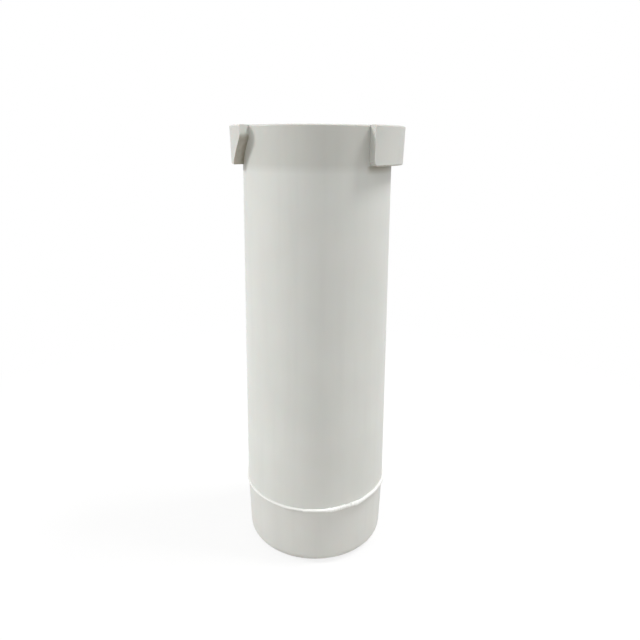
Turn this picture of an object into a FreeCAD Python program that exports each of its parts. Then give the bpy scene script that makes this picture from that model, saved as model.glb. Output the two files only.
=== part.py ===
import FreeCAD, Part
import math
import os

# Fridge water filter cartridge, standing on its closed end. Millimetres and degrees.
# Z is the cartridge's axis, the base is at Z = 0 and the two bayonet lugs lie on +X and -X.

# Outside of the body
overall_height = 182.4
body_radius = 30.0
tube_draft = 0.5
wall = 2.4
weld_height = 27.5
base_taper = 1.0
base_rounding = 4.5
base_thickness = 3.0
base_foot_width = 5.0
base_recess_depth = 0.8

# Collar and bayonet lugs
collar_height = 15.8
collar_swell = 0.6
collar_blend = 90.0
rim_rounding = 0.6
lug_reach = 4.4
lug_height = 14.7
lug_span = 88.0
lug_draft = 1.9
lug_end_skew = 14.5
lug_ramp_start = 4.2
lug_ramp_angle = 51.5
lug_ramp_rounding = 4.0
lug_corner = 2.5
lug_edge = 0.6

# Recess, deck and spigot inside the collar
recess_depth = 18.0
recess_fillet = 1.2
deck_thickness = 3.0
deck_fillet = 2.0
barrel_radius = 13.0
barrel_height = 8.0
barrel_wall = 3.4
barrel_fillet = 0.8
shoulder_thickness = 2.0
nose_radius = 6.5
nose_height = 8.5
outlet_bore_radius = 3.0
inlet_slot_count = 4
inlet_slot_span = 56.0
inlet_slot_width = 1.9
lead_in = 0.7
edge_break = 0.4

# Ring seals on the spigot: cord thickness, groove and how far the groove sits up
inlet_cord = 2.6
inlet_groove_depth = 2.1
inlet_groove_rise = 4.2
outlet_cord = 2.0
outlet_groove_depth = 1.6
outlet_groove_rise = 3.4
groove_side_play = 0.3

# Socket under the deck and the outlet tube that plugs into it
tube_radius = 5.0
tube_play = 0.2
tube_end_gap = 0.5
socket_wall = 1.8
socket_drop = 5.0
tube_groove_depth = 1.1
tube_seal_width = 1.7
tube_seal_pitch = 4.6
seal_seat = 0.02

# Spin weld: tongue of the bottom cap inside the tube, and the flash outside
tongue_height = 5.5
tongue_thickness = 1.8
tongue_play = 0.1
tongue_root = 1.0
tongue_slope = 3.0
flash_proud = 0.8
flash_thickness = 1.4

# Seat in the bottom cap
seat_height = 10.0
seat_wall = 2.0
stub_radius = 5.0
stub_length = 6.0
stub_play = 0.2
rib_count = 6
rib_height = 7.0
rib_thickness = 1.6

# Filter block with its layers and end caps
end_cap_gap = 1.0
end_cap_thickness = 2.0
end_cap_rounding = 0.8
skirt_thickness = 1.2
skirt_height = 8.0
skirt_play = 0.5
net_thickness = 0.8
net_play = 0.2
wrap_thickness = 1.0
core_bore_radius = 6.0
core_sleeve_thickness = 0.8
pilot_length = 4.0
pilot_play = 0.2
glue_thickness = 1.0
net_columns = 10
net_rows = 10
net_strand = 1.6

# Levels and radii that follow from the sizes above
lean = math.tan(math.radians(tube_draft))
inner_radius = body_radius - wall
weld_radius = body_radius + lean * (overall_height - collar_height - weld_height)
weld_bore = weld_radius - wall
base_radius = weld_radius - base_taper
base_recess_radius = base_radius - base_rounding - base_foot_width
deck_top = overall_height - recess_depth
deck_bottom = deck_top - deck_thickness
shoulder = deck_top + barrel_height
nose_top = shoulder + nose_height
chamber_top = shoulder - shoulder_thickness
chamber_radius = barrel_radius - barrel_wall
socket_radius = tube_radius + tube_play
socket_outer = socket_radius + socket_wall
socket_bottom = deck_bottom - socket_drop
tube_top = chamber_top - tube_end_gap
upper_cap_top = socket_bottom - end_cap_gap
upper_cap_bottom = upper_cap_top - end_cap_thickness
block_top = upper_cap_bottom - glue_thickness
seat_top = base_thickness + seat_height
lower_cap_top = seat_top + end_cap_thickness
block_bottom = lower_cap_top + glue_thickness
tongue_radius = weld_bore - tongue_play
skirt_radius = inner_radius - tongue_play - tongue_thickness - skirt_play
skirt_bore = skirt_radius - skirt_thickness
net_radius = skirt_bore - net_play
wrap_radius = net_radius - net_thickness
block_radius = wrap_radius - wrap_thickness
core_radius = core_bore_radius - core_sleeve_thickness
pilot_radius = core_radius - pilot_play
lug_radius = body_radius + collar_swell + lug_reach
tube_groove_radius = tube_radius - tube_groove_depth
tube_seal_middle = (socket_bottom + tube_top) / 2.0
axis_foot = FreeCAD.Vector(0, 0, 0)
up = FreeCAD.Vector(0, 0, 1)


def lathe(corners, sweep=360.0):
    """Solid turned from corners of (radius, height) or (radius, height, rounding)."""
    spots = [FreeCAD.Vector(c[0], 0, c[1]) for c in corners]
    edges = []
    starts = []
    ends = []
    arcs = []
    for i, corner in enumerate(corners):
        here = spots[i]
        rounding = corner[2] if len(corner) > 2 else 0.0
        if rounding == 0.0:
            starts.append(here)
            ends.append(here)
            arcs.append(None)
            continue
        back = (spots[i - 1] - here).normalize()
        ahead = (spots[(i + 1) % len(spots)] - here).normalize()
        half = back.getAngle(ahead) / 2.0
        trim = rounding / math.tan(half)
        inward = (back + ahead).normalize()
        middle = here + inward * (rounding / math.sin(half) - rounding)
        starts.append(here + back * trim)
        ends.append(here + ahead * trim)
        arcs.append(Part.Arc(starts[-1], middle, ends[-1]).toShape())
    for i in range(len(spots)):
        if arcs[i] is not None:
            edges.append(arcs[i])
        leave = ends[i]
        reach = starts[(i + 1) % len(spots)]
        if leave.distanceToPoint(reach) > 1e-6:
            edges.append(Part.makeLine(leave, reach))
    face = Part.Face(Part.Wire(edges))
    return face.revolve(axis_foot, up, sweep)


def prism(points, bottom, height):
    """Upright prism on a plan of (x, y) points."""
    loop = [FreeCAD.Vector(x, y, bottom) for x, y in points]
    face = Part.Face(Part.makePolygon(loop + loop[:1]))
    return face.extrude(up * height)


def plan(radius, angle):
    """Plan point at a radius and an angle from +X."""
    turn = math.radians(angle)
    return radius * math.cos(turn), radius * math.sin(turn)


def one_solid(shape):
    """Clean single solid of a fused or cut shape."""
    return shape.removeSplitter().Solids[0]


def lug():
    """Bayonet lug on +X: a drafted ring sector with a ramp under its leading end."""
    top = overall_height
    bottom = top - lug_height
    foot = body_radius - wall / 2.0
    lower = lug_radius - lug_height * math.tan(math.radians(lug_draft))
    ring = lathe([
        (foot, bottom),
        (lower, bottom, lug_edge),
        (lug_radius, top, rim_rounding),
        (foot, top),
    ])
    # The end faces lean off the radial direction, which lets the mould halves open along Y.
    half = lug_span / 2.0
    lead = plan(lug_radius, half)
    trail = plan(lug_radius, -half)
    lead_way = plan(1.0, half + lug_end_skew)
    trail_way = plan(1.0, -half - lug_end_skew)
    run_out = lug_reach + 4.0
    run_in = lug_reach + wall
    wedge = prism([
        (lead[0] - lead_way[0] * run_in, lead[1] - lead_way[1] * run_in),
        (trail[0] - trail_way[0] * run_in, trail[1] - trail_way[1] * run_in),
        (trail[0] + trail_way[0] * run_out, trail[1] + trail_way[1] * run_out),
        (lug_radius * 2.0, 0.0),
        (lead[0] + lead_way[0] * run_out, lead[1] + lead_way[1] * run_out),
    ], bottom, lug_height)
    # The trailing end has a rounded lower corner.
    for edge in wedge.Edges:
        ends = [v.Point for v in edge.Vertexes]
        low = all(abs(p.z - bottom) < 1e-6 for p in ends)
        side = [(p.x - trail[0]) * trail_way[1] - (p.y - trail[1]) * trail_way[0] for p in ends]
        if low and all(abs(s) < 1e-6 for s in side):
            wedge = wedge.makeFillet(lug_corner, [edge])
            break
    # The ramp leaves the leading face below its upper part and runs back under the lug.
    reach = 3.0 * lug_height
    cutter = Part.makeBox(4.0 * lug_radius, reach, reach)
    cutter.translate(FreeCAD.Vector(-2.0 * lug_radius, 0, -reach))
    cutter.rotate(axis_foot, FreeCAD.Vector(1, 0, 0), lug_ramp_angle - 90.0)
    cutter.rotate(axis_foot, up, half + lug_end_skew)
    cutter.translate(FreeCAD.Vector(lead[0], lead[1], top - lug_ramp_start))
    wedge = wedge.cut(cutter)
    # The leading face bends into the ramp.
    for edge in wedge.Edges:
        ends = [v.Point for v in edge.Vertexes]
        if all(abs(p.z - top + lug_ramp_start) < 1e-6 for p in ends):
            wedge = wedge.makeFillet(lug_ramp_rounding, [edge])
            break
    return ring.common(wedge)


def housing():
    """Drafted tube, collar, lugs, deck and spigot, moulded in one piece."""
    inlet_low = deck_top + inlet_groove_rise - inlet_cord / 2.0 - groove_side_play
    inlet_high = deck_top + inlet_groove_rise + inlet_cord / 2.0 + groove_side_play
    inlet_floor = barrel_radius - inlet_groove_depth
    outlet_low = shoulder + outlet_groove_rise - outlet_cord / 2.0 - groove_side_play
    outlet_high = shoulder + outlet_groove_rise + outlet_cord / 2.0 + groove_side_play
    outlet_floor = nose_radius - outlet_groove_depth
    shell = lathe([
        (weld_radius, weld_height),
        (body_radius, overall_height - collar_height, collar_blend),
        (body_radius + collar_swell, overall_height, rim_rounding),
        (inner_radius, overall_height, rim_rounding),
        (inner_radius, deck_top, recess_fillet),
        (barrel_radius, deck_top, barrel_fillet),
        (barrel_radius, inlet_low),
        (inlet_floor, inlet_low),
        (inlet_floor, inlet_high),
        (barrel_radius, inlet_high),
        (barrel_radius, shoulder, lead_in),
        (nose_radius, shoulder, edge_break),
        (nose_radius, outlet_low),
        (outlet_floor, outlet_low),
        (outlet_floor, outlet_high),
        (nose_radius, outlet_high),
        (nose_radius, nose_top, lead_in),
        (outlet_bore_radius, nose_top, edge_break),
        (outlet_bore_radius, chamber_top),
        (socket_radius, chamber_top),
        (socket_radius, socket_bottom, edge_break),
        (socket_outer, socket_bottom, edge_break),
        (socket_outer, chamber_top),
        (chamber_radius, chamber_top),
        (chamber_radius, deck_bottom, edge_break),
        (inner_radius, deck_bottom, deck_fillet),
        (weld_bore, weld_height),
    ])
    right = lug()
    left = right.copy()
    left.rotate(axis_foot, up, 180.0)
    shell = one_solid(shell.fuse([right, left]))
    # Inlet slots through the shoulder, around the nose.
    middle = (max(socket_outer, nose_radius) + chamber_radius) / 2.0
    inner = middle - inlet_slot_width / 2.0
    outer = middle + inlet_slot_width / 2.0
    slots = []
    for i in range(inlet_slot_count):
        slot = lathe([
            (inner, chamber_top - 1.0),
            (outer, chamber_top - 1.0),
            (outer, shoulder + 1.0),
            (inner, shoulder + 1.0),
        ], inlet_slot_span)
        slot.rotate(axis_foot, up, i * 360.0 / inlet_slot_count - inlet_slot_span / 2.0)
        slots.append(slot)
    return one_solid(shell.cut(slots))


def bottom_cap():
    """Cup that closes the tube, with its weld tongue, seat ring and stiffening ribs."""
    seat_bore = stub_radius + stub_play
    seat_radius = seat_bore + seat_wall
    base_inside = base_radius - wall
    tongue_inside = tongue_radius - tongue_thickness
    cup = lathe([
        (0, base_recess_depth),
        (base_recess_radius - base_recess_depth, base_recess_depth),
        (base_recess_radius, 0),
        (base_radius, 0, base_rounding),
        (weld_radius, weld_height),
        (tongue_radius, weld_height),
        (tongue_radius - lean * tongue_height, weld_height + tongue_height, edge_break),
        (tongue_inside, weld_height + tongue_height, edge_break),
        (tongue_inside, weld_height - tongue_root),
        (base_inside, weld_height - tongue_root - tongue_slope),
        (base_inside, base_thickness, base_rounding - wall),
        (seat_radius, base_thickness),
        (seat_radius, seat_top),
        (seat_bore, seat_top, edge_break),
        (seat_bore, base_thickness),
        (0, base_thickness),
    ])
    ribs = []
    for i in range(rib_count):
        length = base_inside + wall / 2.0 - seat_bore - seat_wall / 2.0
        rib = Part.makeBox(length, rib_thickness, rib_height + base_thickness / 2.0)
        rib.translate(FreeCAD.Vector(seat_bore + seat_wall / 2.0, -rib_thickness / 2.0, base_thickness / 2.0))
        rib.rotate(axis_foot, up, i * 360.0 / rib_count)
        ribs.append(rib)
    # The ribs end at the cup's rounded inner corner.
    outline = lathe([
        (0, base_thickness / 2.0),
        (base_inside + wall / 2.0, base_thickness / 2.0, base_rounding - wall / 2.0),
        (base_inside + wall / 2.0, weld_height),
        (0, weld_height),
    ])
    trimmed = [rib.common(outline) for rib in ribs]
    return one_solid(cup.fuse(trimmed))


def weld_flash():
    """Bead of plastic that the spin weld squeezed out around the seam."""
    low = weld_height - flash_thickness / 2.0
    high = weld_height + flash_thickness / 2.0
    below = weld_radius - base_taper * (weld_height - low) / weld_height
    above = weld_radius - lean * (high - weld_height)
    crest = weld_radius + flash_proud
    return lathe([
        (below, low),
        (crest, low, flash_proud * 0.6),
        (crest, high, flash_proud * 0.6),
        (above, high),
        (weld_radius, weld_height),
    ])


def ring_seal(groove_floor, cord, level):
    """Round rubber ring lying on the floor of its groove."""
    middle = groove_floor + seal_seat + cord / 2.0
    return Part.makeTorus(middle, cord / 2.0, FreeCAD.Vector(0, 0, level), up)


def tube_seal(level):
    """Rubber ring squeezed between the outlet tube's groove and the socket."""
    inner = tube_groove_radius + seal_seat
    outer = socket_radius - seal_seat
    half = tube_seal_width / 2.0
    corner = 0.45 * min(outer - inner, tube_seal_width)
    return lathe([
        (inner, level - half, corner),
        (outer, level - half, corner),
        (outer, level + half, corner),
        (inner, level + half, corner),
    ])


def carbon_block():
    """Pressed carbon tube that the water passes through from outside to inside."""
    return lathe([
        (core_bore_radius, block_bottom),
        (block_radius, block_bottom),
        (block_radius, block_top),
        (core_bore_radius, block_top),
    ])


def core_sleeve():
    """Non-woven tube that lines the block's bore."""
    return lathe([
        (core_radius, block_bottom),
        (core_bore_radius, block_bottom),
        (core_bore_radius, block_top),
        (core_radius, block_top),
    ])


def sediment_wrap():
    """Non-woven layer rolled around the block."""
    return lathe([
        (block_radius, block_bottom),
        (wrap_radius, block_bottom),
        (wrap_radius, block_top),
        (block_radius, block_top),
    ])


def outer_netting():
    """Plastic net sleeve over the wrap, with staggered diamond openings between the skirts."""
    sleeve = lathe([
        (wrap_radius, block_bottom),
        (net_radius, block_bottom),
        (net_radius, block_top),
        (wrap_radius, block_top),
    ])
    low = lower_cap_top + skirt_height + net_strand
    high = upper_cap_bottom - skirt_height - net_strand
    pitch = 360.0 / net_columns
    rise = (high - low) / (net_rows + 1)
    half_width = math.pi * net_radius / net_columns - net_strand / 2.0
    half_height = rise - net_strand / 2.0
    openings = []
    for row in range(net_rows):
        level = low + (row + 1) * rise
        loop = [
            FreeCAD.Vector(wrap_radius - 3.0, -half_width, level),
            FreeCAD.Vector(wrap_radius - 3.0, 0, level - half_height),
            FreeCAD.Vector(wrap_radius - 3.0, half_width, level),
            FreeCAD.Vector(wrap_radius - 3.0, 0, level + half_height),
        ]
        face = Part.Face(Part.makePolygon(loop + loop[:1]))
        opening = face.extrude(FreeCAD.Vector(net_thickness + 6.0, 0, 0))
        for column in range(net_columns):
            turned = opening.copy()
            turned.rotate(axis_foot, up, (column + 0.5 * (row % 2)) * pitch)
            openings.append(turned)
    return one_solid(sleeve.cut(openings))


def upper_end_cap():
    """Cap on the block's top, with the outlet tube that plugs into the housing."""
    skirt_end = upper_cap_bottom - skirt_height
    pilot_end = upper_cap_bottom - pilot_length
    first = tube_seal_middle - tube_seal_pitch / 2.0
    second = tube_seal_middle + tube_seal_pitch / 2.0
    reach = tube_seal_width / 2.0 + groove_side_play
    return lathe([
        (outlet_bore_radius, pilot_end),
        (pilot_radius, pilot_end, edge_break),
        (pilot_radius, upper_cap_bottom),
        (skirt_bore, upper_cap_bottom),
        (skirt_bore, skirt_end),
        (skirt_radius, skirt_end, edge_break),
        (skirt_radius, upper_cap_top, end_cap_rounding),
        (tube_radius, upper_cap_top, end_cap_rounding),
        (tube_radius, first - reach),
        (tube_groove_radius, first - reach),
        (tube_groove_radius, first + reach),
        (tube_radius, first + reach),
        (tube_radius, second - reach),
        (tube_groove_radius, second - reach),
        (tube_groove_radius, second + reach),
        (tube_radius, second + reach),
        (tube_radius, tube_top, edge_break),
        (outlet_bore_radius, tube_top),
    ])


def lower_end_cap():
    """Closed cap under the block, with the stub that sits in the bottom cap's seat ring."""
    skirt_end = lower_cap_top + skirt_height
    return lathe([
        (0, seat_top - stub_length),
        (stub_radius, seat_top - stub_length, edge_break),
        (stub_radius, seat_top),
        (skirt_radius, seat_top, end_cap_rounding),
        (skirt_radius, skirt_end, edge_break),
        (skirt_bore, skirt_end),
        (skirt_bore, lower_cap_top),
        (pilot_radius, lower_cap_top),
        (pilot_radius, lower_cap_top + pilot_length, edge_break),
        (0, lower_cap_top + pilot_length),
    ])


def glue_ring(level):
    """Hot-melt ring between the block and an end cap."""
    return lathe([
        (core_bore_radius, level),
        (skirt_bore, level),
        (skirt_bore, level + glue_thickness),
        (core_bore_radius, level + glue_thickness),
    ])


pieces = {
    "housing": housing(),
    "bottom_cap": bottom_cap(),
    "weld_flash": weld_flash(),
    "inlet_o_ring": ring_seal(barrel_radius - inlet_groove_depth, inlet_cord, deck_top + inlet_groove_rise),
    "outlet_o_ring": ring_seal(nose_radius - outlet_groove_depth, outlet_cord, shoulder + outlet_groove_rise),
    "carbon_block": carbon_block(),
    "core_sleeve": core_sleeve(),
    "sediment_wrap": sediment_wrap(),
    "outer_netting": outer_netting(),
    "upper_end_cap": upper_end_cap(),
    "lower_end_cap": lower_end_cap(),
    "upper_glue_ring": glue_ring(block_top),
    "lower_glue_ring": glue_ring(lower_cap_top),
    "upper_tube_o_ring": tube_seal(tube_seal_middle + tube_seal_pitch / 2.0),
    "lower_tube_o_ring": tube_seal(tube_seal_middle - tube_seal_pitch / 2.0),
}

os.makedirs("parts", exist_ok=True)
for name, shape in pieces.items():
    shape.exportStep(f"parts/{name}.step")
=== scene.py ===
import math
import bpy
from mathutils import Matrix, Vector


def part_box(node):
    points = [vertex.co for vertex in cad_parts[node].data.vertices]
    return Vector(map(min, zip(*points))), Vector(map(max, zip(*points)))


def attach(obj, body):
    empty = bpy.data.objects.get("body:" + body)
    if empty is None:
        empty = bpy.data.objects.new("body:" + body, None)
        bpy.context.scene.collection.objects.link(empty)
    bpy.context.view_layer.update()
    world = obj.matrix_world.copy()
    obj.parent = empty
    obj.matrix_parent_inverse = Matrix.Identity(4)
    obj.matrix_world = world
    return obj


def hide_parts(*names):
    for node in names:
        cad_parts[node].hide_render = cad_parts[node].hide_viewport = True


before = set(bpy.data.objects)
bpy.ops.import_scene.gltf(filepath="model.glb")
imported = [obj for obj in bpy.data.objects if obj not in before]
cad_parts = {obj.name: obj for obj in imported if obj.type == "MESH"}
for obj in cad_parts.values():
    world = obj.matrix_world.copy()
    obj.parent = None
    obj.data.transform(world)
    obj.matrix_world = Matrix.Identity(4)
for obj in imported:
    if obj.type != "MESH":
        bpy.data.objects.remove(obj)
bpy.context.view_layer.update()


# Carbon block: ground shell carbon, pressed with a binder and baked into a stiff black tube.
# It does the filtering, and stands in the tube out of sight between two glued plastic caps.
crumb_size = 0.0007
crumb_relief = 0.00018
carbon_dust_patch = 0.004
carbon_grey = (0.034, 0.034, 0.036)
carbon_black = (0.010, 0.010, 0.011)
carbon_dust = (0.055, 0.054, 0.053)

# Places of the sockets that a colour mix uses.
mix_share = 0
mix_first = 6
mix_second = 7
mix_result = 2


def new_finish(name):
    finish = bpy.data.materials.new(name)
    finish.use_nodes = True
    return finish, finish.node_tree, finish.node_tree.nodes["Principled BSDF"]


def place_on(tree, size, stretch=(1.0, 1.0, 1.0), turn=(0.0, 0.0, 0.0)):
    place = tree.nodes.new("ShaderNodeTexCoord")
    fitted = tree.nodes.new("ShaderNodeMapping")
    fitted.inputs["Rotation"].default_value = turn
    fitted.inputs["Scale"].default_value = [1.0 / (size * along) for along in stretch]
    tree.links.new(place.outputs["Object"], fitted.inputs["Vector"])
    return fitted.outputs["Vector"]


def grain(tree, size, detail=3.0, stretch=(1.0, 1.0, 1.0), turn=(0.0, 0.0, 0.0)):
    cloud = tree.nodes.new("ShaderNodeTexNoise")
    cloud.inputs["Scale"].default_value = 1.0
    cloud.inputs["Detail"].default_value = detail
    tree.links.new(place_on(tree, size, stretch, turn), cloud.inputs["Vector"])
    return cloud.outputs["Fac"]


def granules(tree, size, output="Distance"):
    cells = tree.nodes.new("ShaderNodeTexVoronoi")
    cells.inputs["Scale"].default_value = 1.0
    tree.links.new(place_on(tree, size), cells.inputs["Vector"])
    return cells.outputs[output]


def spread(tree, value, low, high, start=0.3, end=0.7):
    fitted = tree.nodes.new("ShaderNodeMapRange")
    fitted.inputs["From Min"].default_value = start
    fitted.inputs["From Max"].default_value = end
    fitted.inputs["To Min"].default_value = low
    fitted.inputs["To Max"].default_value = high
    tree.links.new(value, fitted.inputs["Value"])
    return fitted.outputs["Result"]


def two_tone(tree, share, first, second):
    mixed = tree.nodes.new("ShaderNodeMix")
    mixed.data_type = "RGBA"
    tree.links.new(share, mixed.inputs[mix_share])
    for colour, entry in ((first, mixed.inputs[mix_first]), (second, mixed.inputs[mix_second])):
        if isinstance(colour, bpy.types.NodeSocket):
            tree.links.new(colour, entry)
        else:
            entry.default_value = (*colour, 1.0)
    return mixed.outputs[mix_result]


def cover(tree, shader, colour, roughness):
    tree.links.new(colour, shader.inputs["Base Color"])
    tree.links.new(roughness, shader.inputs["Roughness"])


def relief(tree, shader, height, depth):
    bump = tree.nodes.new("ShaderNodeBump")
    bump.inputs["Distance"].default_value = depth
    tree.links.new(height, bump.inputs["Height"])
    if shader.inputs["Normal"].is_linked:
        tree.links.new(shader.inputs["Normal"].links[0].from_socket, bump.inputs["Normal"])
    tree.links.new(bump.outputs["Normal"], shader.inputs["Normal"])


def dress(finish, *names):
    for name in names:
        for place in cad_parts[name].material_slots:
            place.material = finish


carbon, tree, shader = new_finish("pressed_carbon")
crumbs = granules(tree, crumb_size)
dust = grain(tree, carbon_dust_patch)
crumbly = two_tone(tree, spread(tree, crumbs, 0.0, 1.0, 0.0, 0.8), carbon_grey, carbon_black)
dusty = two_tone(tree, spread(tree, dust, 0.0, 0.35), crumbly, carbon_dust)
cover(tree, shader, dusty, spread(tree, dust, 0.72, 0.95))
relief(tree, shader, crumbs, crumb_relief)
dress(carbon, "carbon_block")


# Non-woven sleeves: thin polypropylene felt, one wrapped round the block and one lining its bore.
# They hold back grit and carbon fines, and are heat-bonded from fibres that lie in all directions.
fibre_width = 0.00035
fibre_run = 14.0
felt_patch = 0.006
felt_relief = 0.00008
felt_shade = (0.66, 0.65, 0.61)
felt_light = (0.83, 0.82, 0.79)


def combined(tree, operation, first, second):
    step = tree.nodes.new("ShaderNodeMath")
    step.operation = operation
    tree.links.new(first, step.inputs[0])
    tree.links.new(second, step.inputs[1])
    return step.outputs["Value"]


felt, tree, shader = new_finish("non_woven_felt")
lengthwise = grain(tree, fibre_width, 2.0, (1.0, 1.0, fibre_run), (0.25, 0.2, 0.0))
across = grain(tree, fibre_width, 2.0, (fibre_run, fibre_run, 1.0), (0.0, 0.3, 0.7))
fluff = spread(tree, combined(tree, "MAXIMUM", lengthwise, across), 0.0, 1.0, 0.42, 0.72)
matting = spread(tree, grain(tree, felt_patch), 0.8, 0.95)
cover(tree, shader, two_tone(tree, fluff, felt_shade, felt_light), matting)
shader.inputs["Sheen Weight"].default_value = 0.25
relief(tree, shader, fluff, felt_relief)
dress(felt, "core_sleeve", "sediment_wrap")


# Outer netting: a sleeve of polyethylene net, stretched over the wrap to keep it on the block.
# Its strands are extruded and welded where they cross, so they are smooth, glossy and half clear.
strand_width = 0.0008
strand_run = 8.0
strand_relief = 0.00003
net_shade = (0.74, 0.76, 0.75)
net_light = (0.84, 0.85, 0.84)

net, tree, shader = new_finish("net_polyethylene")
drawn = grain(tree, strand_width, 2.0, (1.0, 1.0, strand_run))
strands = two_tone(tree, spread(tree, drawn, 0.0, 1.0), net_shade, net_light)
cover(tree, shader, strands, spread(tree, drawn, 0.2, 0.34))
shader.inputs["Transmission Weight"].default_value = 0.2
relief(tree, shader, drawn, strand_relief)
dress(net, "outer_netting")


# End caps of the block: shallow polypropylene cups, the upper one with the tube that the water leaves by.
# They are moulded in a plain matt white, and their skin has the fine orange peel of all these mouldings.
drift_patch = 0.028
flow_width = 0.0035
flow_run = 16.0
flow_relief = 0.00002
flow_darkening = 0.93
peel_size = 0.0009
peel_relief = 0.000012
polypropylene_ior = 1.49
block_cap_shade = (0.75, 0.75, 0.73)
block_cap_light = (0.80, 0.80, 0.78)
matt = (0.42, 0.55)


def moulded_plastic(name, shade, light, gloss, dull):
    finish, tree, shader = new_finish(name)
    drift = spread(tree, grain(tree, drift_patch, 2.0), 0.0, 1.0)
    flow = grain(tree, flow_width, 3.0, (1.0, 1.0, flow_run))
    peel = grain(tree, peel_size, 2.0)
    skin = two_tone(tree, drift, shade, light)
    streak = [flow_darkening * part for part in shade]
    streaked = two_tone(tree, spread(tree, flow, 0.0, 0.22, 0.45, 0.75), skin, streak)
    cover(tree, shader, streaked, spread(tree, flow, gloss, dull))
    shader.inputs["IOR"].default_value = polypropylene_ior
    relief(tree, shader, peel, peel_relief)
    relief(tree, shader, flow, flow_relief)
    return finish, tree, shader


block_cap = moulded_plastic("block_cap_white", block_cap_shade, block_cap_light, *matt)[0]
dress(block_cap, "upper_end_cap", "lower_end_cap")


# Glue rings: beads of amber hot melt that bond each end of the block into its cap.
# The bead is poured hot and chills with a glossy, slightly rippled skin.
ripple_size = 0.0025
ripple_relief = 0.00025
glue_amber = (0.62, 0.52, 0.32)
glue_pale = (0.75, 0.68, 0.51)


def let_light_in(shader, share, depth):
    shader.inputs["Subsurface Weight"].default_value = share
    shader.inputs["Subsurface Scale"].default_value = depth


glue, tree, shader = new_finish("hot_melt_amber")
ripple = grain(tree, ripple_size, 1.0)
melted = two_tone(tree, spread(tree, ripple, 0.0, 1.0), glue_amber, glue_pale)
cover(tree, shader, melted, spread(tree, ripple, 0.16, 0.3))
let_light_in(shader, 0.3, 0.001)
relief(tree, shader, ripple, ripple_relief)
dress(glue, "upper_glue_ring", "lower_glue_ring")


# Ring seals: moulded black nitrile rubber, two squeezed on the outlet tube and two on the spigot.
# The rubber is dull, with a greasy bloom in patches and the fine pitting of its mould.
bloom_patch = 0.0022
pit_size = 0.00025
pit_relief = 0.00002
rubber_black = (0.012, 0.012, 0.013)
rubber_grey = (0.034, 0.034, 0.035)

rubber, tree, shader = new_finish("seal_rubber_black")
bloom = grain(tree, bloom_patch, 4.0)
pits = grain(tree, pit_size, 2.0)
bloomed = two_tone(tree, spread(tree, bloom, 0.0, 1.0), rubber_black, rubber_grey)
cover(tree, shader, bloomed, spread(tree, bloom, 0.36, 0.62))
relief(tree, shader, pits, pit_relief)
dress(rubber, "upper_tube_o_ring", "lower_tube_o_ring", "inlet_o_ring", "outlet_o_ring")


# Housing: the tube, collar, lugs, deck and spigot are one polypropylene moulding in an off-white.
# Its skin is satin, with faint flow streaks and a dark fleck here and there. The collar and lugs carry a
# painted shade, the ramps of the lugs a brown painted shade that deepens into their corners, and the wall
# just under the lugs a painted shadow.
shell_shade = (0.690, 0.700, 0.665)
shell_light = (0.730, 0.740, 0.706)
satin = (0.38, 0.48)
milkiness = 0.1
milk_depth = 0.0015
fleck_size = 0.00016
fleck_brown = (0.30, 0.28, 0.24)
shell_fleck_pitch = 0.011
collar_painted_shade = (0.935, 0.930, 0.922)
collar_wall_painted_shade = (0.935, 0.934, 0.928)
ramp_shade_patch = 0.0013
ramp_shade_run = 3.0
ramp_painted_shade = (0.70, 0.65, 0.58)
ramp_corner_painted_shade = (0.80, 0.78, 0.74)
under_lug_painted_shadow = (0.58, 0.54, 0.47)

# Where the lugs are: the height of their feet, radii of the wall, and the way they and their ramps point.
lug_height = 0.0147
lug_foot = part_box("housing")[1].z - lug_height
collar_from = (lug_foot - 0.0027, lug_foot + 0.0005)
painted_shadow_from = (lug_foot - 0.0031, lug_foot - 0.0003)
painted_shadow_to = (lug_foot - 0.0001, lug_foot + 0.0001)
recess_wall = (0.0282, 0.0290)
lug_root = (0.0308, 0.0312)
ramp_corner = (0.0309, 0.0322)
ramp_facing = (-0.667, 0.409, -0.623)
lug_facing = (0.983, -0.182, 0.0)
lug_sector = (0.0253, 0.0262)


def overlap(tree, *shares):
    whole = shares[0]
    for share in shares[1:]:
        whole = combined(tree, "MULTIPLY", whole, share)
    return whole


def flecks(tree, shader, size, every):
    near = granules(tree, every)
    lot = tree.nodes.new("ShaderNodeSeparateColor")
    tree.links.new(granules(tree, every, "Color"), lot.inputs["Color"])
    few = spread(tree, lot.outputs["Red"], 0.0, 1.0, 0.86, 0.88)
    small = spread(tree, near, 1.0, 0.0, size / every, 1.6 * size / every)
    skin = shader.inputs["Base Color"].links[0].from_socket
    specks = two_tone(tree, overlap(tree, few, small), skin, fleck_brown)
    tree.links.new(specks, shader.inputs["Base Color"])


def height_on(tree):
    spot = tree.nodes.new("ShaderNodeSeparateXYZ")
    tree.links.new(tree.nodes.new("ShaderNodeTexCoord").outputs["Object"], spot.inputs["Vector"])
    return spot.outputs["Z"]


def radius_on(tree):
    flat = tree.nodes.new("ShaderNodeVectorMath")
    flat.operation = "MULTIPLY"
    flat.inputs[1].default_value = (1.0, 1.0, 0.0)
    tree.links.new(tree.nodes.new("ShaderNodeTexCoord").outputs["Object"], flat.inputs[0])
    out = tree.nodes.new("ShaderNodeVectorMath")
    out.operation = "LENGTH"
    tree.links.new(flat.outputs["Vector"], out.inputs[0])
    return out.outputs["Value"]


def shade_by(tree, shader, share, tint):
    darker = tree.nodes.new("ShaderNodeMix")
    darker.data_type = "RGBA"
    darker.blend_type = "MULTIPLY"
    darker.inputs[mix_second].default_value = (*tint, 1.0)
    tree.links.new(share, darker.inputs[mix_share])
    tree.links.new(shader.inputs["Base Color"].links[0].from_socket, darker.inputs[mix_first])
    tree.links.new(darker.outputs[mix_result], shader.inputs["Base Color"])


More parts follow.
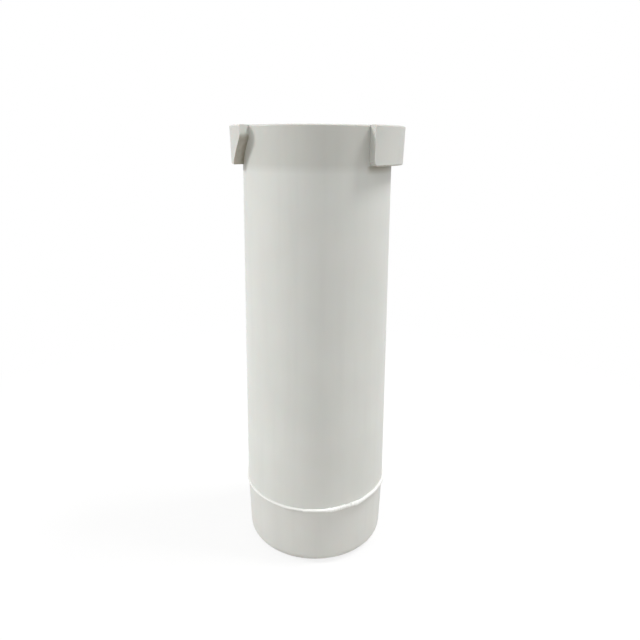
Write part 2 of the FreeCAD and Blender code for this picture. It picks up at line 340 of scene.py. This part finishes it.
def on_either_lug(tree, vector, facing):
    ahead, across, up = facing
    sides = []
    for turn in (1.0, -1.0):
        share = tree.nodes.new("ShaderNodeVectorMath")
        share.operation = "DOT_PRODUCT"
        share.inputs[1].default_value = (turn * ahead, turn * across, up)
        tree.links.new(vector, share.inputs[0])
        sides.append(share.outputs["Value"])
    return combined(tree, "MAXIMUM", *sides)


shell, tree, shader = moulded_plastic("housing_white", shell_shade, shell_light, *satin)
flecks(tree, shader, fleck_size, shell_fleck_pitch)
height = height_on(tree)
radius = radius_on(tree)
spot = tree.nodes.new("ShaderNodeTexCoord").outputs["Object"]
facing = tree.nodes.new("ShaderNodeNewGeometry").outputs["True Normal"]

on_collar = spread(tree, height, 0.0, 1.0, *collar_from)
outside_recess = spread(tree, radius, 0.0, 1.0, *recess_wall)
inside_lugs = spread(tree, radius, 1.0, 0.0, *lug_root)
# Painted shade: the collar and lugs are darkened, and the collar wall between the lugs once more.
shade_by(tree, shader, overlap(tree, on_collar, outside_recess), collar_painted_shade)
shade_by(tree, shader, overlap(tree, on_collar, outside_recess, inside_lugs), collar_wall_painted_shade)

# Painted shade on the lugs' ramps, patchy along them, and deeper in the corner where each ramp meets the
# wall.
on_ramp = spread(tree, on_either_lug(tree, facing, ramp_facing), 0.0, 1.0, 0.84, 0.975)
patchy = spread(tree, grain(tree, ramp_shade_patch, 4.0, (1.0, 1.0, ramp_shade_run)), 0.65, 1.0)
in_corner = spread(tree, radius, 1.0, 0.0, *ramp_corner)
shade_by(tree, shader, overlap(tree, on_ramp, patchy), ramp_painted_shade)
shade_by(tree, shader, overlap(tree, on_ramp, in_corner), ramp_corner_painted_shade)

# Painted shadow: a brown-grey band on the wall just under each lug.
by_lug = spread(tree, on_either_lug(tree, spot, lug_facing), 0.0, 1.0, *lug_sector)
near_lug = spread(tree, height, 0.0, 1.0, *painted_shadow_from)
below_lug = spread(tree, height, 1.0, 0.0, *painted_shadow_to)
shade_by(tree, shader, overlap(tree, near_lug, below_lug, by_lug, outside_recess), under_lug_painted_shadow)
let_light_in(shader, milkiness, milk_depth)
dress(shell, "housing")


# Bottom cap: a cup of the same polypropylene, moulded apart and spin-welded into the end of the tube.
# Its underside keeps the fine rings of the turned mould, and the torn stub of the gate that filled it.
base_shade = (0.676, 0.680, 0.647)
base_light = (0.713, 0.717, 0.686)
base_fleck_pitch = 0.013
ring_pitch = 0.0014
ring_relief = 0.00003
ring_heights = (0.0009, 0.0013)

base, tree, shader = moulded_plastic("bottom_cap_white", base_shade, base_light, *satin)
flecks(tree, shader, fleck_size, base_fleck_pitch)
let_light_in(shader, milkiness, milk_depth)
rings = tree.nodes.new("ShaderNodeTexWave")
rings.wave_type = "RINGS"
rings.rings_direction = "Z"
rings.inputs["Scale"].default_value = 1.0
tree.links.new(place_on(tree, ring_pitch), rings.inputs["Vector"])
under = spread(tree, height_on(tree), 1.0, 0.0, *ring_heights)
relief(tree, shader, overlap(tree, rings.outputs["Fac"], under), ring_relief)
dress(base, "bottom_cap")

# Each level of the gate stub has a radius and a height, from its root in the base down to its torn end.
gate_levels = ((0.00130, 0.00095), (0.00124, 0.00062), (0.00104, 0.00042), (0.00055, 0.00034))
gate_sides = 32
gate_tear = 0.00004
gate_points = []
for gate_radius, gate_height in gate_levels:
    for i in range(gate_sides):
        turn = math.tau * i / gate_sides
        out = gate_radius * (1.0 + 0.07 * math.sin(3.0 * turn + 0.7) + 0.04 * math.sin(7.0 * turn))
        level = gate_height + gate_tear * math.sin(5.0 * turn)
        gate_points.append((out * math.cos(turn), out * math.sin(turn), level))
gate_end = (len(gate_levels) - 1) * gate_sides
gate_faces = [list(range(gate_sides)), list(reversed(range(gate_end, gate_end + gate_sides)))]
for step in range(0, gate_end, gate_sides):
    following = step + gate_sides
    for i in range(gate_sides):
        ahead = (i + 1) % gate_sides
        gate_faces.append([step + i, following + i, following + ahead, step + ahead])
gate_mesh = bpy.data.meshes.new("gate_stub")
gate_mesh.from_pydata(gate_points, [], gate_faces)
gate_mesh.materials.append(base)
gate = bpy.data.objects.new("gate_stub", gate_mesh)
bpy.context.scene.collection.objects.link(gate)
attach(gate, "root")


# Weld flash: plastic that the spinning weld squeezed out of the seam, a rounded bead over a thin torn lip.
# It is stretched and stress-whitened, so it is brighter than the mouldings, and a few curls stand off it.
flash_shade = (0.86, 0.86, 0.835)
flash_light = (0.905, 0.905, 0.88)
stretched = (0.45, 0.6)
flash_sizes = {
    "Seam radius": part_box("bottom_cap")[1].x,
    "Seam height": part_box("housing")[0].z,
    "Reach": 0.00065,
    "Thickness": 0.00090,
    "Bury": 0.00030,
    "Ragged": 0.00042,
    "Seed": 4.0,
}
flash_limit = 0.0320
least_reach = 0.00008
seam_steps = 1801
bead_sides = 17
lip_sides = 9
curl_steps = 41
curl_sides = 9
weld_gap = 0.000002

# Each kind of tear: its size along the seam, and its own place in the noise.
bead_swell = (0.006, 0.0)
bead_tear = (0.0008, 7.0)
bead_wave = (0.0030, 13.0)
lip_swell = (0.012, 21.0)
lip_tear = (0.0011, 27.0)
lip_wave = (0.0024, 33.0)

# Each stretch of the seam: the shares of a turn where it starts, is full, fades and ends, then its gain.
bead_stretches = {
    "thin": (0.48, 0.56, 0.665, 0.725, -0.04),
    "even": (0.684, 0.708, 0.742, 0.756, 0.40),
    "dimple": (0.7425, 0.7455, 0.7470, 0.7505, -0.08),
    "knot": (0.7480, 0.7520, 0.7550, 0.7640, 0.22),
    "middle": (0.750, 0.760, 0.800, 0.835, 0.24),
    "frayed": (0.788, 0.810, 0.862, 0.885, 0.75),
    "heavy": (0.846, 0.880, 0.985, 1.0, 0.70),
}
doubled_stretch = (0.784, 0.798, 0.850, 0.872)
sunk_stretch = (0.48, 0.60, 0.795, 0.862)
sunk_by = 0.00036
raised_stretch = (0.862, 0.925, 0.965, 1.0)
raised_by = 0.00058

# Each curl: the shares of a turn where it starts and ends, its lift, its stand-off and its thickness.
curls = (
    (0.8630, 0.8765, -0.00080, 0.00025, 0.00013),
    (0.8420, 0.8515, -0.00075, 0.00020, 0.00014),
    (0.8230, 0.8300, 0.00070, 0.00012, 0.00012),
    (0.8330, 0.8390, 0.00078, 0.00015, 0.00011),
    (0.3110, 0.3240, -0.00080, 0.00022, 0.00013),
    (0.1210, 0.1290, 0.00075, 0.00018, 0.00012),
)

flash_white = moulded_plastic("weld_flash_white", flash_shade, flash_light, *stretched)[0]
flash_tree = bpy.data.node_groups.new("weld_flash", "GeometryNodeTree")
flash_tree.interface.new_socket(name="Geometry", in_out="OUTPUT", socket_type="NodeSocketGeometry")
flash_entries = {}
for name, value in flash_sizes.items():
    entry = flash_tree.interface.new_socket(name=name, in_out="INPUT", socket_type="NodeSocketFloat")
    entry.default_value = value
    flash_entries[name] = entry.identifier
given = flash_tree.nodes.new("NodeGroupInput").outputs
finished = flash_tree.nodes.new("NodeGroupOutput")


def maths(operation, *values):
    step = flash_tree.nodes.new("ShaderNodeMath")
    step.operation = operation
    for value, entry in zip(values, step.inputs):
        if isinstance(value, bpy.types.NodeSocket):
            flash_tree.links.new(value, entry)
        else:
            entry.default_value = value
    return step.outputs["Value"]


def stretch_of(share, start, full, fade, end):
    rise = flash_tree.nodes.new("ShaderNodeMapRange")
    fall = flash_tree.nodes.new("ShaderNodeMapRange")
    for step, first, last in ((rise, start, full), (fall, end, fade)):
        step.interpolation_type = "SMOOTHSTEP"
        step.inputs["From Min"].default_value = first
        step.inputs["From Max"].default_value = last
        flash_tree.links.new(share, step.inputs["Value"])
    return maths("MULTIPLY", rise.outputs["Result"], fall.outputs["Result"])


def torn(turn, size, offset):
    point = flash_tree.nodes.new("ShaderNodeCombineXYZ")
    flash_tree.links.new(maths("COSINE", turn), point.inputs["X"])
    flash_tree.links.new(maths("SINE", turn), point.inputs["Y"])
    flash_tree.links.new(maths("ADD", given["Seed"], offset), point.inputs["Z"])
    cloud = flash_tree.nodes.new("ShaderNodeTexNoise")
    cloud.inputs["Scale"].default_value = flash_sizes["Seam radius"] / size
    cloud.inputs["Detail"].default_value = 2.0
    flash_tree.links.new(point.outputs["Vector"], cloud.inputs["Vector"])
    return maths("SUBTRACT", cloud.outputs["Fac"], 0.5)


def strip_of(around, across):
    strip = flash_tree.nodes.new("GeometryNodeMeshGrid")
    for entry, value in (("Size X", 1.0), ("Size Y", 1.0), ("Vertices X", around), ("Vertices Y", across)):
        strip.inputs[entry].default_value = value
    spot = flash_tree.nodes.new("ShaderNodeSeparateXYZ")
    place = flash_tree.nodes.new("GeometryNodeInputPosition")
    flash_tree.links.new(place.outputs["Position"], spot.inputs["Vector"])
    along = maths("ADD", spot.outputs["X"], 0.5)
    bend = maths("MULTIPLY", spot.outputs["Y"], math.tau)
    return strip.outputs["Mesh"], along, bend


def rolled(strip, turn, out, height):
    point = flash_tree.nodes.new("ShaderNodeCombineXYZ")
    flash_tree.links.new(maths("MULTIPLY", out, maths("COSINE", turn)), point.inputs["X"])
    flash_tree.links.new(maths("MULTIPLY", out, maths("SINE", turn)), point.inputs["Y"])
    flash_tree.links.new(maths("ADD", height, given["Seam height"]), point.inputs["Z"])
    placed = flash_tree.nodes.new("GeometryNodeSetPosition")
    flash_tree.links.new(strip, placed.inputs["Geometry"])
    flash_tree.links.new(point.outputs["Vector"], placed.inputs["Position"])
    closed = flash_tree.nodes.new("GeometryNodeMergeByDistance")
    closed.inputs["Distance"].default_value = weld_gap
    flash_tree.links.new(placed.outputs["Geometry"], closed.inputs["Geometry"])
    return closed.outputs["Geometry"]


def kept_in(reach, turn):
    front = maths("ABSOLUTE", maths("SINE", turn))
    limit = maths("DIVIDE", flash_limit, maths("MAXIMUM", front, 0.9))
    room = maths("SUBTRACT", limit, given["Seam radius"])
    return maths("MINIMUM", maths("MAXIMUM", reach, least_reach), room)


def standing_out(reach, bend):
    tip = maths("MULTIPLY_ADD", maths("COSINE", bend), 0.5, 0.5)
    depth = maths("ADD", reach, given["Bury"])
    return maths("MULTIPLY_ADD", depth, tip, maths("SUBTRACT", given["Seam radius"], given["Bury"]))


def settled(share):
    low = stretch_of(share, *sunk_stretch)
    high = stretch_of(share, *raised_stretch)
    return maths("MULTIPLY_ADD", high, raised_by, maths("MULTIPLY", low, -sunk_by))


def bead():
    strip, share, bend = strip_of(seam_steps, bead_sides)
    turn = maths("MULTIPLY", share, math.tau)
    scale = maths("MULTIPLY_ADD", torn(turn, *bead_swell), 0.70, 1.02)
    stretches = {}
    for name, (start, full, fade, end, gain) in bead_stretches.items():
        stretches[name] = stretch_of(share, start, full, fade, end)
        scale = maths("MULTIPLY_ADD", stretches[name], gain, scale)
    frayed = stretches["frayed"]
    quick = maths("MULTIPLY", torn(turn, *bead_tear), given["Ragged"])
    ragged = maths("MULTIPLY", quick, maths("MULTIPLY_ADD", frayed, 1.6, 0.35))
    reach = kept_in(maths("MULTIPLY_ADD", scale, given["Reach"], ragged), turn)
    half = maths("MULTIPLY", maths("MULTIPLY", given["Thickness"], 0.5), scale)
    upper = maths("MAXIMUM", maths("SINE", bend), 0.0)
    jags = maths("MULTIPLY", maths("MULTIPLY", quick, maths("MULTIPLY_ADD", frayed, 2.6, 0.3)), upper)
    wave = maths("MULTIPLY", torn(turn, *bead_wave), maths("MULTIPLY_ADD", frayed, 0.0006, 0.00022))
    sag = maths("ADD", maths("MULTIPLY", stretches["knot"], -0.00024), maths("MULTIPLY", frayed, 0.00012))
    sag = maths("ADD", sag, settled(share))
    height = maths("MULTIPLY_ADD", maths("SINE", bend), half, maths("ADD", jags, maths("ADD", wave, sag)))
    return rolled(strip, turn, standing_out(reach, bend), height)


def torn_lip():
    strip, share, bend = strip_of(seam_steps, lip_sides)
    turn = maths("MULTIPLY", share, math.tau)
    doubled = stretch_of(share, *doubled_stretch)
    often = maths("MAXIMUM", doubled, maths("MULTIPLY_ADD", torn(turn, *lip_swell), 5.0, -0.4))
    often = maths("MINIMUM", often, 1.0)
    ragged = maths("MULTIPLY", torn(turn, *lip_tear), given["Ragged"])
    reach = maths("MULTIPLY", given["Reach"], maths("MULTIPLY_ADD", often, 0.45, 0.25))
    reach = kept_in(maths("MULTIPLY_ADD", often, ragged, reach), turn)
    half = maths("MULTIPLY", given["Thickness"], 0.20)
    drop = maths("MULTIPLY_ADD", maths("MAXIMUM", often, 0.0), -0.00050, -0.00012)
    drop = maths("ADD", drop, settled(share))
    wave = maths("MULTIPLY", torn(turn, *lip_wave), 0.00035)
    height = maths("MULTIPLY_ADD", maths("SINE", bend), half, maths("ADD", drop, wave))
    return rolled(strip, turn, standing_out(reach, bend), height)


def curl_of(start, end, lift, stand, thick):
    strip, along, bend = strip_of(curl_steps, curl_sides)
    share = maths("MULTIPLY_ADD", along, end - start, start)
    turn = maths("MULTIPLY", share, math.tau)
    arch = maths("MAXIMUM", maths("SINE", maths("MULTIPLY", along, math.pi)), 0.0)
    round_of = maths("MULTIPLY", maths("SQRT", arch), thick)
    centre = maths("ADD", maths("MULTIPLY_ADD", arch, stand, 0.00020), given["Seam radius"])
    out = maths("MULTIPLY_ADD", maths("COSINE", bend), round_of, centre)
    level = maths("MULTIPLY_ADD", arch, lift, settled(share))
    height = maths("MULTIPLY_ADD", maths("SINE", bend), round_of, level)
    return rolled(strip, turn, out, height)


whole_flash = flash_tree.nodes.new("GeometryNodeJoinGeometry")
flash_tree.links.new(bead(), whole_flash.inputs["Geometry"])
flash_tree.links.new(torn_lip(), whole_flash.inputs["Geometry"])
for curl in curls:
    flash_tree.links.new(curl_of(*curl), whole_flash.inputs["Geometry"])
smooth = flash_tree.nodes.new("GeometryNodeSetShadeSmooth")
whole = flash_tree.nodes.new("GeometryNodeRealizeInstances")
coated = flash_tree.nodes.new("GeometryNodeSetMaterial")
coated.inputs["Material"].default_value = flash_white
for before, after in ((whole_flash, smooth), (smooth, whole), (whole, coated), (coated, finished)):
    flash_tree.links.new(before.outputs["Geometry"], after.inputs["Geometry"])

grower = bpy.data.objects.new("flash_grower", bpy.data.meshes.new("flash_grower"))
bpy.context.scene.collection.objects.link(grower)
growth = grower.modifiers.new("weld_flash", "NODES")
growth.node_group = flash_tree
for name, value in flash_sizes.items():
    growth[flash_entries[name]] = value
grown = bpy.data.meshes.new_from_object(grower.evaluated_get(bpy.context.evaluated_depsgraph_get()))
bpy.data.objects.remove(grower)
flash = bpy.data.objects.new("ragged_weld_flash", grown)
bpy.context.scene.collection.objects.link(flash)
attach(flash, "root")
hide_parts("weld_flash")


# Table and backdrop: a white sweep of matt paper that the cartridge stands on.
# The paper keeps the soft shadow near the base and runs out to plain white.
paper_tooth = 0.0012
paper_relief = 0.00002
paper_shade = (0.90, 0.90, 0.895)
paper_light = (0.92, 0.92, 0.915)
bounce_far = (0.42, 0.41, 0.395)
bounce_near = (0.55, 0.535, 0.51)
near_base = (0.05, 0.30)
table_radius = 3.0
table_sides = 96
table_drop = 0.0001

paper, tree, shader = new_finish("white_paper")
tooth = grain(tree, paper_tooth, 2.0)
seen = tree.nodes.new("ShaderNodeLightPath").outputs
sheen = two_tone(tree, spread(tree, tooth, 0.0, 1.0), paper_shade, paper_light)
shader.inputs["Roughness"].default_value = 0.9
shader.inputs["Specular IOR Level"].default_value = 0.2
relief(tree, shader, tooth, paper_relief)
away = radius_on(tree)
# Rays other than the camera's see the paper grey and paler near the base: a painted pool of bounce light
# round the cartridge.
bounce = two_tone(tree, spread(tree, away, 1.0, 0.0, *near_base), bounce_far, bounce_near)
tree.links.new(two_tone(tree, seen["Is Camera Ray"], bounce, sheen), shader.inputs["Base Color"])
shown = combined(tree, "MAXIMUM", seen["Is Camera Ray"], seen["Is Glossy Ray"])
white = tree.nodes.new("ShaderNodeEmission")
mixed = tree.nodes.new("ShaderNodeMixShader")
tree.links.new(overlap(tree, shown, spread(tree, away, 0.80, 1.0, *near_base)), mixed.inputs["Fac"])
tree.links.new(shader.outputs["BSDF"], mixed.inputs[1])
tree.links.new(white.outputs["Emission"], mixed.inputs[2])
tree.links.new(mixed.outputs["Shader"], tree.nodes["Material Output"].inputs["Surface"])

rim = []
for i in range(table_sides):
    turn = math.tau * i / table_sides
    rim.append((table_radius * math.cos(turn), table_radius * math.sin(turn), -table_drop))
sheet = bpy.data.meshes.new("table_sheet")
sheet.from_pydata(rim, [], [range(table_sides)])
table = bpy.data.objects.new("table_sheet", sheet)
table.data.materials.append(paper)
bpy.context.scene.collection.objects.link(table)


# Room and studio light: plain white walls and ceiling, seen by the camera as white, and three small panels.
# One is on the left, one high on the right and a weak one over the camera. The front gets mostly the room's
# fill, so the tube is darkest down its middle.
white_light = (1.0, 1.0, 1.0, 1.0)
walls = 0.60
ceiling = 0.55
view_turn = math.radians(9.4)
panel_distance = 1.5
panel_aim = Vector((0.0, 0.0, 0.09))

sky = bpy.data.worlds.new("room")
sky.use_nodes = True
bpy.context.scene.world = sky
tree = sky.node_tree
fill = tree.nodes["Background"]
fill.inputs["Color"].default_value = white_light
climb = tree.nodes.new("ShaderNodeSeparateXYZ")
tree.links.new(tree.nodes.new("ShaderNodeTexCoord").outputs["Generated"], climb.inputs["Vector"])
tree.links.new(spread(tree, climb.outputs["Z"], walls, ceiling, 0.0, 1.0), fill.inputs["Strength"])
blank = tree.nodes.new("ShaderNodeBackground")
blank.inputs["Color"].default_value = white_light
blank.inputs["Strength"].default_value = 1.0
seen = tree.nodes.new("ShaderNodeLightPath").outputs
mixed = tree.nodes.new("ShaderNodeMixShader")
tree.links.new(seen["Is Camera Ray"], mixed.inputs["Fac"])
tree.links.new(fill.outputs["Background"], mixed.inputs[1])
tree.links.new(blank.outputs["Background"], mixed.inputs[2])
tree.links.new(mixed.outputs["Shader"], tree.nodes["World Output"].inputs["Surface"])


def panel(name, around, up, side, watts):
    lamp = bpy.data.lights.new(name, "AREA")
    lamp.shape = "SQUARE"
    lamp.size = side
    lamp.energy = watts
    turn = view_turn + math.radians(around)
    climb = math.radians(up)
    aim = Vector((math.sin(turn) * math.cos(climb), -math.cos(turn) * math.cos(climb), math.sin(climb)))
    stand = bpy.data.objects.new(name, lamp)
    stand.location = panel_aim + aim * panel_distance
    stand.rotation_euler = aim.to_track_quat("Z", "Y").to_euler()
    bpy.context.scene.collection.objects.link(stand)


panel("left_panel", -85.0, 32.0, 0.30, 11.1)
panel("right_panel", 92.0, 61.0, 0.45, 14.2)
panel("front_panel", 10.0, 40.0, 0.60, 1.8)


# Camera: a short lens near the collar's height, a little right of the middle between the lugs, tilted down.
# The small shift keeps the frame of the photograph.
eye_distance = 0.23806
eye_height = 0.17528
look_down = 0.2668
lean = 0.0062

lens = bpy.data.cameras.new("camera")
lens.sensor_width = 36.0
lens.lens = 31.957
lens.shift_x = 0.00564
lens.shift_y = -0.03125
camera = bpy.data.objects.new("camera", lens)
pitch = Matrix.Rotation(math.pi / 2 - look_down, 4, "X") @ Matrix.Rotation(lean, 4, "Z")
eye = Vector((eye_distance * math.sin(view_turn), -eye_distance * math.cos(view_turn), eye_height))
camera.matrix_world = Matrix.Translation(eye) @ Matrix.Rotation(view_turn, 4, "Z") @ pitch
bpy.context.scene.collection.objects.link(camera)
bpy.context.scene.camera = camera
bpy.context.scene.view_settings.view_transform = "Standard"
